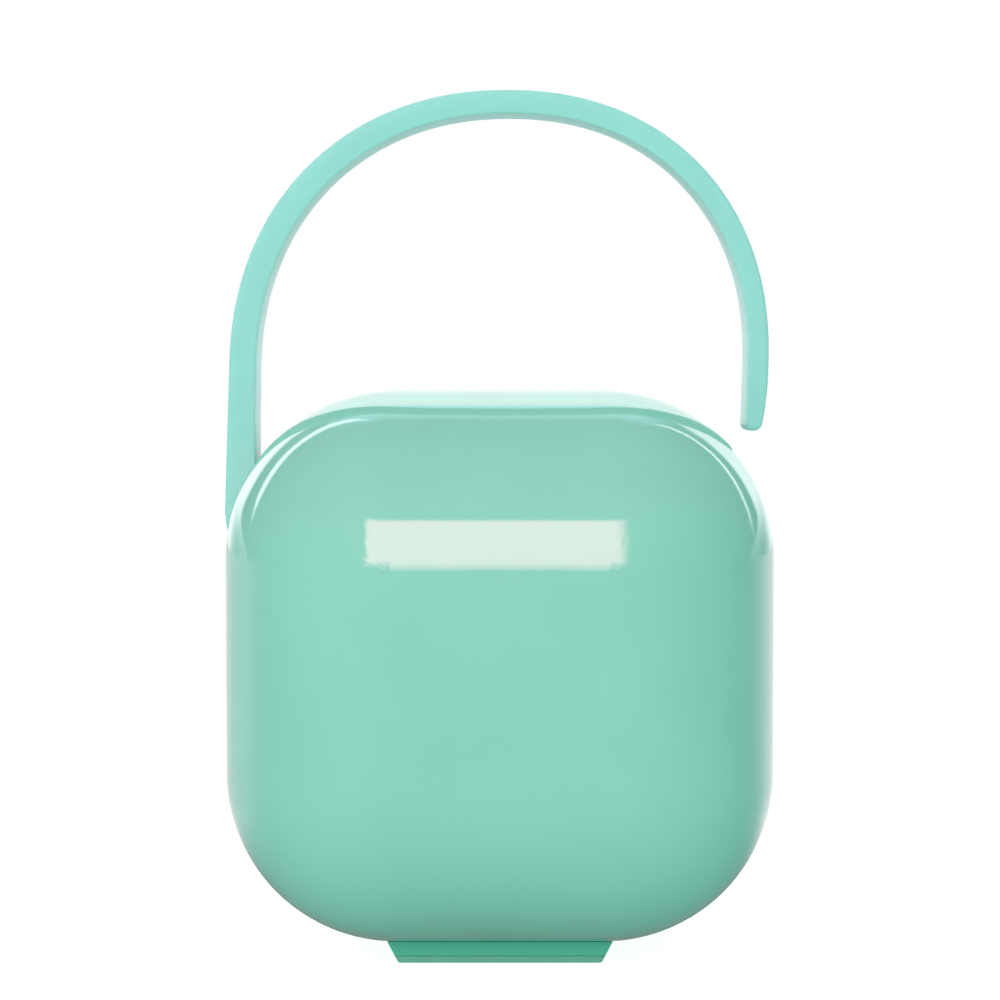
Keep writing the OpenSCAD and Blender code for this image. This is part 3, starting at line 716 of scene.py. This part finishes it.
class CASE_OT_dress_chamber(Operator):
    """Finishes the mirrored chamber, its rack, its seals and its lamps"""

    bl_idname = "case.dress_chamber"
    bl_label = "Dress chamber"

    def execute(self, context):
        colours = context.scene.case_finish
        dress(metallised_abs("metallised_abs"), "lid_reflector", "chamber_reflector")
        dress(moulded_silicone("milky_silicone", colours.seal, 0.2), "lid_seal", "window_seal")
        dress(moulded_nylon("white_nylon", colours.white_plastic), "pacifier_rack", "inner_frame")
        dress(fused_quartz("fused_quartz"), "quartz_window")
        dress(sintered_alumina("alumina"), "uv_leds", "status_led")
        return {"FINISHED"}


class CASE_OT_dress_works(Operator):
    """Finishes the metal parts, the boards, the cell and the switch"""

    bl_idname = "case.dress_works"
    bl_label = "Dress works"

    def execute(self, context):
        colours = context.scene.case_finish
        dress(turned_steel("turned_steel"), "hinge_pin", "handle_screws", "foot_screws", "frame_screws",
              "board_screws", "usb_socket")
        dress(plated_nickel("plated_nickel"), "lid_magnet")
        dress(solder_mask("solder_mask", colours.board), "uv_led_board", "main_board")
        dress(pouch_foil("pouch_foil"), "battery")
        black = moulded_nylon("black_nylon", hex_colour("1d1e20"))
        dress(black, "power_switch", "switch_plunger", "lid_sensor")
        return {"FINISHED"}


# ---------- studio ----------

# Light that glossy surfaces mirror, by direction: x to the right, y behind the case, z up. Two values are
# where a smooth step starts and ends. A third and fourth, if given, are what it is worth before and after.
STUDIO_COLOUR = (1.0, 0.96, 1.0, 1)
ROOM_LEVEL = 0.3

# Backdrop: its edge, the place farther back where its glow has fallen from near to far, the bends of its
# edge, and its glow at the sides and low down.
BACKDROP_EDGE = (0.6, 0.663)
BACKDROP_DEEP = 0.95
BACKDROP_NEAR = 2.95
BACKDROP_FAR = 1.7
LEFT_BEND = (-0.35, -0.5, 0, 0.11)
RIGHT_BEND = (0.45, 0.7, 0, 0.07)
LOW_BEND = (0.17, 0, 0, -0.3)
BACKDROP_SIDES = (0.3, 0.5, 1, 1.05)
BACKDROP_LOW = (0.28, 0, 0, 0.65)
BACKDROP_LOW_SIDES = (0.45, 0.75, 0, 1)

# Seam before the backdrop: the arch it follows, its half width on either side, and where it fades out.
SEAM_CENTRE = 0.05
SEAM_CREST = 0.63
SEAM_AT = 0.547
SEAM_HALF_WIDTH = (-0.4, 0.4, 0.042, 0.024)
SEAM_SOFTNESS = 0.012
SEAM_GLOW = 5.0
SEAM_MIDDLE = (0.15, 0.45, 0, 1)
SEAM_ENDS = (0.97, 0.8, 0, 1)
SEAM_LOW = (0.05, 0.35, 0, 1)

# Mint light on the table before the backdrop
SPILL_START = (0.3, 0.5)
SPILL_SIDES = (0.2, 0.45, 1, 0)
SPILL_GLOW = 2.4
SPILL_COLOUR = (0.5, 0.82, 1.0, 1)

# Soft front lamp
SOFTBOX_FRONT = (-0.1, -0.2)
SOFTBOX_LEFT = (-0.33, -0.27, 0, 1)
SOFTBOX_RIGHT = (0.10, 0.28, 1, 0)
SOFTBOX_BOTTOM = (-0.035, 0.05, 0, 1)
SOFTBOX_TOP = (0.475, 0.495, 1, 0)
SOFTBOX_GLOW = 9.8
SOFTBOX_COLOUR = (1.0, 0.42, 0.53, 1)

# Even light from all round on matt surfaces
FILL_LEVEL = 0.63
FILL_COLOUR = (0.76, 1.0, 0.97, 1)


def smooth_product(tree, terms):
    """Product of smooth steps, each given as (socket, start, end, value before, value after)."""
    product = None
    for value, start, end, before, after in terms:
        step = add_node(tree, "ShaderNodeMapRange", {
            "Value": value, "From Min": start, "From Max": end, "To Min": before, "To Max": after,
        }, interpolation_type="SMOOTHSTEP").outputs["Result"]
        if product is not None:
            step = add_node(tree, "ShaderNodeMath", {0: product, 1: step}, operation="MULTIPLY").outputs[0]
        product = step
    return product


def backdrop_glow(tree, x, y, z):
    """Strength of the white backdrop behind the case over the dim room. Its edge bends back at both sides
    and comes forward near the horizon, where it also fades into the table."""
    edge = y
    for value, bend in ((x, LEFT_BEND), (x, RIGHT_BEND), (z, LOW_BEND)):
        shift = smooth_product(tree, [(value, *bend)])
        edge = add_node(tree, "ShaderNodeMath", {0: edge, 1: shift}, operation="SUBTRACT").outputs[0]
    aside = add_node(tree, "ShaderNodeMath", {0: x}, operation="ABSOLUTE").outputs[0]
    paper = smooth_product(tree, [
        (edge, BACKDROP_EDGE[1], BACKDROP_DEEP, BACKDROP_NEAR, BACKDROP_FAR), (aside, *BACKDROP_SIDES),
    ])
    dim = smooth_product(tree, [(z, *BACKDROP_LOW), (aside, *BACKDROP_LOW_SIDES)])
    kept = add_node(tree, "ShaderNodeMath", {0: 1.0, 1: dim}, operation="SUBTRACT").outputs[0]
    paper = add_node(tree, "ShaderNodeMath", {0: paper, 1: kept}, operation="MULTIPLY").outputs[0]
    inside = smooth_product(tree, [(edge, *BACKDROP_EDGE, 0, 1)])
    glow = add_node(tree, "ShaderNodeMix", {0: inside, 2: ROOM_LEVEL, 3: paper}, data_type="FLOAT")
    return glow.outputs[0]


def seam_glow(tree, x, y, z):
    """Strength of the thin lit seam before the backdrop: an arched line on each side, wider on the left."""
    centred = add_node(tree, "ShaderNodeMath", {0: x, 1: SEAM_CENTRE}, operation="SUBTRACT").outputs[0]
    aside = add_node(tree, "ShaderNodeMath", {0: centred}, operation="ABSOLUTE").outputs[0]
    crest = add_node(tree, "ShaderNodeMath", {0: aside, 1: SEAM_CREST}, operation="SUBTRACT").outputs[0]
    arch = add_node(tree, "ShaderNodeMath", {0: crest, 1: crest, 2: y}, operation="MULTIPLY_ADD").outputs[0]
    off = add_node(tree, "ShaderNodeMath", {0: arch, 1: SEAM_AT}, operation="SUBTRACT").outputs[0]
    off = add_node(tree, "ShaderNodeMath", {0: off}, operation="ABSOLUTE").outputs[0]
    half = smooth_product(tree, [(x, *SEAM_HALF_WIDTH), (aside, *SEAM_MIDDLE), (aside, *SEAM_ENDS)])
    inside = add_node(tree, "ShaderNodeMath", {0: half, 1: off}, operation="SUBTRACT").outputs[0]
    return smooth_product(tree, [(inside, 0, SEAM_SOFTNESS, 0, SEAM_GLOW), (z, *SEAM_LOW)])


def spill_glow(tree, x, y):
    """Strength of the mint light that the case throws on the table just before the backdrop."""
    aside = add_node(tree, "ShaderNodeMath", {0: x}, operation="ABSOLUTE").outputs[0]
    return smooth_product(tree, [
        (y, *SPILL_START, 0, SPILL_GLOW), (y, *BACKDROP_EDGE, 1, 0), (aside, *SPILL_SIDES),
    ])


def softbox_glow(tree, x, y, z):
    """Strength of the soft front lamp's rectangle."""
    return smooth_product(tree, [
        (y, *SOFTBOX_FRONT, 0, SOFTBOX_GLOW), (x, *SOFTBOX_LEFT), (x, *SOFTBOX_RIGHT),
        (z, *SOFTBOX_BOTTOM), (z, *SOFTBOX_TOP),
    ])


def light_world(world):
    """White all round for the camera, the studio for reflections, and an even fill for everything else."""
    world.use_nodes = True
    tree = world.node_tree
    tree.nodes.clear()
    path = add_node(tree, "ShaderNodeLightPath")
    way = add_node(tree, "ShaderNodeSeparateXYZ", {
        0: add_node(tree, "ShaderNodeTexCoord").outputs["Generated"],
    })
    x, y, z = way.outputs["X"], way.outputs["Y"], way.outputs["Z"]
    mirrored = None
    for colour, strength in (
        (STUDIO_COLOUR, backdrop_glow(tree, x, y, z)), (STUDIO_COLOUR, seam_glow(tree, x, y, z)),
        (SPILL_COLOUR, spill_glow(tree, x, y)), (SOFTBOX_COLOUR, softbox_glow(tree, x, y, z)),
    ):
        glow = add_node(tree, "ShaderNodeBackground", {"Color": colour, "Strength": strength}).outputs[0]
        if mirrored is not None:
            glow = add_node(tree, "ShaderNodeAddShader", {0: mirrored, 1: glow}).outputs[0]
        mirrored = glow
    fill = add_node(tree, "ShaderNodeBackground", {"Color": FILL_COLOUR, "Strength": FILL_LEVEL})
    lit = add_node(tree, "ShaderNodeMixShader", {
        0: path.outputs["Is Glossy Ray"], 1: fill.outputs[0], 2: mirrored,
    })
    white = add_node(tree, "ShaderNodeBackground", {"Color": (1, 1, 1, 1), "Strength": 1.0})
    straight = add_node(tree, "ShaderNodeMath", {
        0: path.outputs["Is Camera Ray"], 1: path.outputs["Is Transmission Ray"],
    }, operation="MAXIMUM")
    seen = add_node(tree, "ShaderNodeMixShader", {
        0: straight.outputs[0], 1: lit.outputs[0], 2: white.outputs[0],
    })
    add_node(tree, "ShaderNodeOutputWorld", {"Surface": seen.outputs[0]})


# Table: what lifts it to white for the camera, and the shine that reflections see on it. The shine fans out
# from a point just before the case's middle, each step by slant (y over x) or by place in metres.
TABLE_RADIUS = 2.0
TABLE_SIDES = 96
FLOOR_LIFT = 0.9
SHINE_COLOUR = (1.0, 0.86, 0.93, 1)
SHINE_SIDES = (-0.05, 0.05, 0.8, 1.1)
SHINE_ORIGIN = 0.02
SHINE_LEAN = (-0.05, 0.05, 1, 0.5)
SHINE_FRONT = (0.05, 0.5, 0, 1)
SHINE_BEHIND = (2, 6, 1, 0.6)
# Painted shadow: the shine falls to the room's level close round the case's middle.
SHINE_PAINTED_SHADOW = (0.04, 0.09, 0, 1)


def white_laminate(name, colour):
    """White laminate table. It takes shadows; for the camera its white is lifted. In reflections it is
    bright beside the case, dimmer straight behind it, and dim in front, and it darkens close round the
    case's
    middle: a painted shadow of the case that only reflections see."""
    material, tree, where = new_material(name)
    cloud = add_node(tree, "ShaderNodeTexNoise", {"Vector": where, "Scale": 1 / (60 * MM), "Detail": 2})
    # The mint of the table's colour is painted bounce light from the case; the cloud varies it by 1 per
    # cent.
    shade = add_node(tree, "ShaderNodeMix", {
        0: cloud.outputs["Fac"], 6: scaled(colour, 0.99), 7: scaled(colour, 1),
    }, data_type="RGBA")
    diffuse = add_node(tree, "ShaderNodeBsdfDiffuse", {"Color": shade.outputs[2]})
    path = add_node(tree, "ShaderNodeLightPath")
    straight = add_node(tree, "ShaderNodeMath", {
        0: path.outputs["Is Camera Ray"], 1: path.outputs["Is Transmission Ray"],
    }, operation="MAXIMUM").outputs[0]
    lifted = add_node(tree, "ShaderNodeMath", {0: straight, 1: FLOOR_LIFT}, operation="MULTIPLY").outputs[0]
    lift = add_node(tree, "ShaderNodeEmission", {"Strength": lifted})
    matt = add_node(tree, "ShaderNodeAddShader", {0: diffuse.outputs[0], 1: lift.outputs[0]})

    place = add_node(tree, "ShaderNodeSeparateXYZ", {0: where})
    x, y = place.outputs["X"], place.outputs["Y"]
    aside = add_node(tree, "ShaderNodeMath", {0: x}, operation="ABSOLUTE").outputs[0]
    back = add_node(tree, "ShaderNodeMath", {0: y, 1: SHINE_ORIGIN}, operation="ADD").outputs[0]
    slant = add_node(tree, "ShaderNodeMath", {0: back, 1: aside}, operation="DIVIDE").outputs[0]
    share = smooth_product(tree, [(x, *SHINE_LEAN)])
    lean = add_node(tree, "ShaderNodeMath", {0: slant, 1: share}, operation="MULTIPLY").outputs[0]
    near = add_node(tree, "ShaderNodeVectorMath", {0: where}, operation="LENGTH").outputs["Value"]
    # The step by distance darkens the shine close round the case: a painted shadow that only reflections
    # see.
    bright = smooth_product(tree, [
        (lean, *SHINE_FRONT), (slant, *SHINE_BEHIND), (near, *SHINE_PAINTED_SHADOW), (x, *SHINE_SIDES),
    ])
    strength = add_node(tree, "ShaderNodeMath", {0: bright, 1: ROOM_LEVEL}, operation="ADD").outputs[0]
    gleam = add_node(tree, "ShaderNodeEmission", {"Color": SHINE_COLOUR, "Strength": strength})
    both = add_node(tree, "ShaderNodeMixShader", {
        0: path.outputs["Is Glossy Ray"], 1: matt.outputs[0], 2: gleam.outputs[0],
    })
    add_node(tree, "ShaderNodeOutputMaterial", {"Surface": both.outputs[0]})
    return material


# Flag: a plane across y that only reflections see
FLAG_Y = -45 * MM
FLAG_HALF_WIDTH = 65 * MM
FLAG_BOTTOM = 71 * MM
FLAG_TOP = 155 * MM


def flag_felt(name):
    """Felt of the studio's flag, as dim as the room and a little uneven."""
    material, tree, where = new_material(name)
    nap = add_node(tree, "ShaderNodeTexNoise", {"Vector": where, "Scale": 1 / (20 * MM), "Detail": 2})
    dim = add_node(tree, "ShaderNodeMapRange", {
        "Value": nap.outputs["Fac"], "To Min": 0.95 * ROOM_LEVEL, "To Max": 1.05 * ROOM_LEVEL,
    })
    felt = add_node(tree, "ShaderNodeEmission", {"Color": STUDIO_COLOUR, "Strength": dim.outputs[0]})
    add_node(tree, "ShaderNodeOutputMaterial", {"Surface": felt.outputs[0]})
    return material


def add_flag():
    """Flag before the case's upper edge. Only reflections see it: it keeps the front lamp's glare off the
    handle and the case's top, which would whiten from behind."""
    bm = bmesh.new()
    half_height = (FLAG_TOP - FLAG_BOTTOM) / 2
    middle = Matrix.Translation((0, FLAG_Y, FLAG_BOTTOM + half_height))
    upright = Matrix.Rotation(math.radians(90), 4, "X")
    shape = Matrix.Diagonal((FLAG_HALF_WIDTH, half_height, 1, 1))
    bmesh.ops.create_grid(bm, x_segments=1, y_segments=1, size=1, matrix=middle @ (upright @ shape))
    flag = link_mesh("light_flag", bm, flag_felt("flag_felt"))
    flag.visible_camera = False
    flag.visible_diffuse = False
    flag.visible_transmission = False
    flag.visible_shadow = False


# Soft lamps, with places in metres, and the camera's sensor in millimetres
KEY_PLACE = (-0.15, -0.62, 0.19)
BACK_PLACE = (0.08, 0.42, 0.62)
LAMP_SIZE = 0.42
SENSOR_WIDTH = 36


def add_soft_lamp(name, place, watts, colour):
    """Square soft lamp that looks at the case's middle. It lights surfaces but isn't mirrored in them."""
    data = bpy.data.lights.new(name, "AREA")
    data.size = LAMP_SIZE
    data.energy = watts
    data.color = colour
    lamp = bpy.data.objects.new(name, data)
    bpy.context.scene.collection.objects.link(lamp)
    lamp.location = place
    sight = Vector((0, 0, CASE_MIDDLE_Z)) - Vector(place)
    lamp.rotation_euler = sight.to_track_quat("-Z", "Y").to_euler()
    lamp.visible_camera = False
    lamp.visible_glossy = False
    lamp.visible_transmission = False


class CASE_OT_set_stage(Operator):
    """Sets the white table, the studio light and the camera"""

    bl_idname = "case.set_stage"
    bl_label = "Set stage"

    def execute(self, context):
        stage = context.scene.case_stage
        bm = bmesh.new()
        bmesh.ops.create_circle(bm, cap_ends=True, segments=TABLE_SIDES, radius=TABLE_RADIUS)
        table = link_mesh("table", bm, white_laminate("white_laminate", stage.floor_painted_bounce))
        add_flag()

        world = bpy.data.worlds.new("studio")
        context.scene.world = world
        light_world(world)
        add_soft_lamp("key", KEY_PLACE, stage.key_power, stage.lamp_colour)
        add_soft_lamp("back", BACK_PLACE, stage.back_power, stage.lamp_colour)

        camera_data = bpy.data.cameras.new("camera")
        camera_data.lens = stage.lens
        camera_data.sensor_width = SENSOR_WIDTH
        camera = bpy.data.objects.new("camera", camera_data)
        context.scene.collection.objects.link(camera)
        camera.location = (0, -stage.camera_distance, stage.camera_height)
        camera.rotation_euler = (math.radians(90) - stage.camera_tilt, 0, 0)
        context.scene.camera = camera
        context.scene.view_settings.view_transform = "Standard"
        return {"FINISHED"}


# ---------- add-on ----------


STEPS = (
    CASE_OT_set_stage, CASE_OT_dress_shells, CASE_OT_build_handle, CASE_OT_build_spring,
    CASE_OT_dress_chamber, CASE_OT_dress_works,
)


class CASE_PT_panel(Panel):
    """Lists the case's settings and steps"""

    bl_label = "Sterilizer case"
    bl_idname = "CASE_PT_panel"
    bl_space_type = "VIEW_3D"
    bl_region_type = "UI"
    bl_category = "Sterilizer"

    def draw(self, context):
        for group in (context.scene.case_finish, context.scene.case_handle, context.scene.case_stage):
            box = self.layout.box()
            for name in group.__annotations__:
                box.prop(group, name)
        for step in STEPS:
            self.layout.operator(step.bl_idname)


CLASSES = (FinishSettings, HandleSettings, StageSettings, *STEPS, CASE_PT_panel)
SETTINGS = {"case_finish": FinishSettings, "case_handle": HandleSettings, "case_stage": StageSettings}


def register():
    for item in CLASSES:
        bpy.utils.register_class(item)
    for name, group in SETTINGS.items():
        setattr(bpy.types.Scene, name, PointerProperty(type=group))


def unregister():
    for name in SETTINGS:
        delattr(bpy.types.Scene, name)
    for item in reversed(CLASSES):
        bpy.utils.unregister_class(item)


def main():
    register()
    for step in STEPS:
        family, name = step.bl_idname.split(".")
        getattr(getattr(bpy.ops, family), name)()


if __name__ == "__main__":
    main()
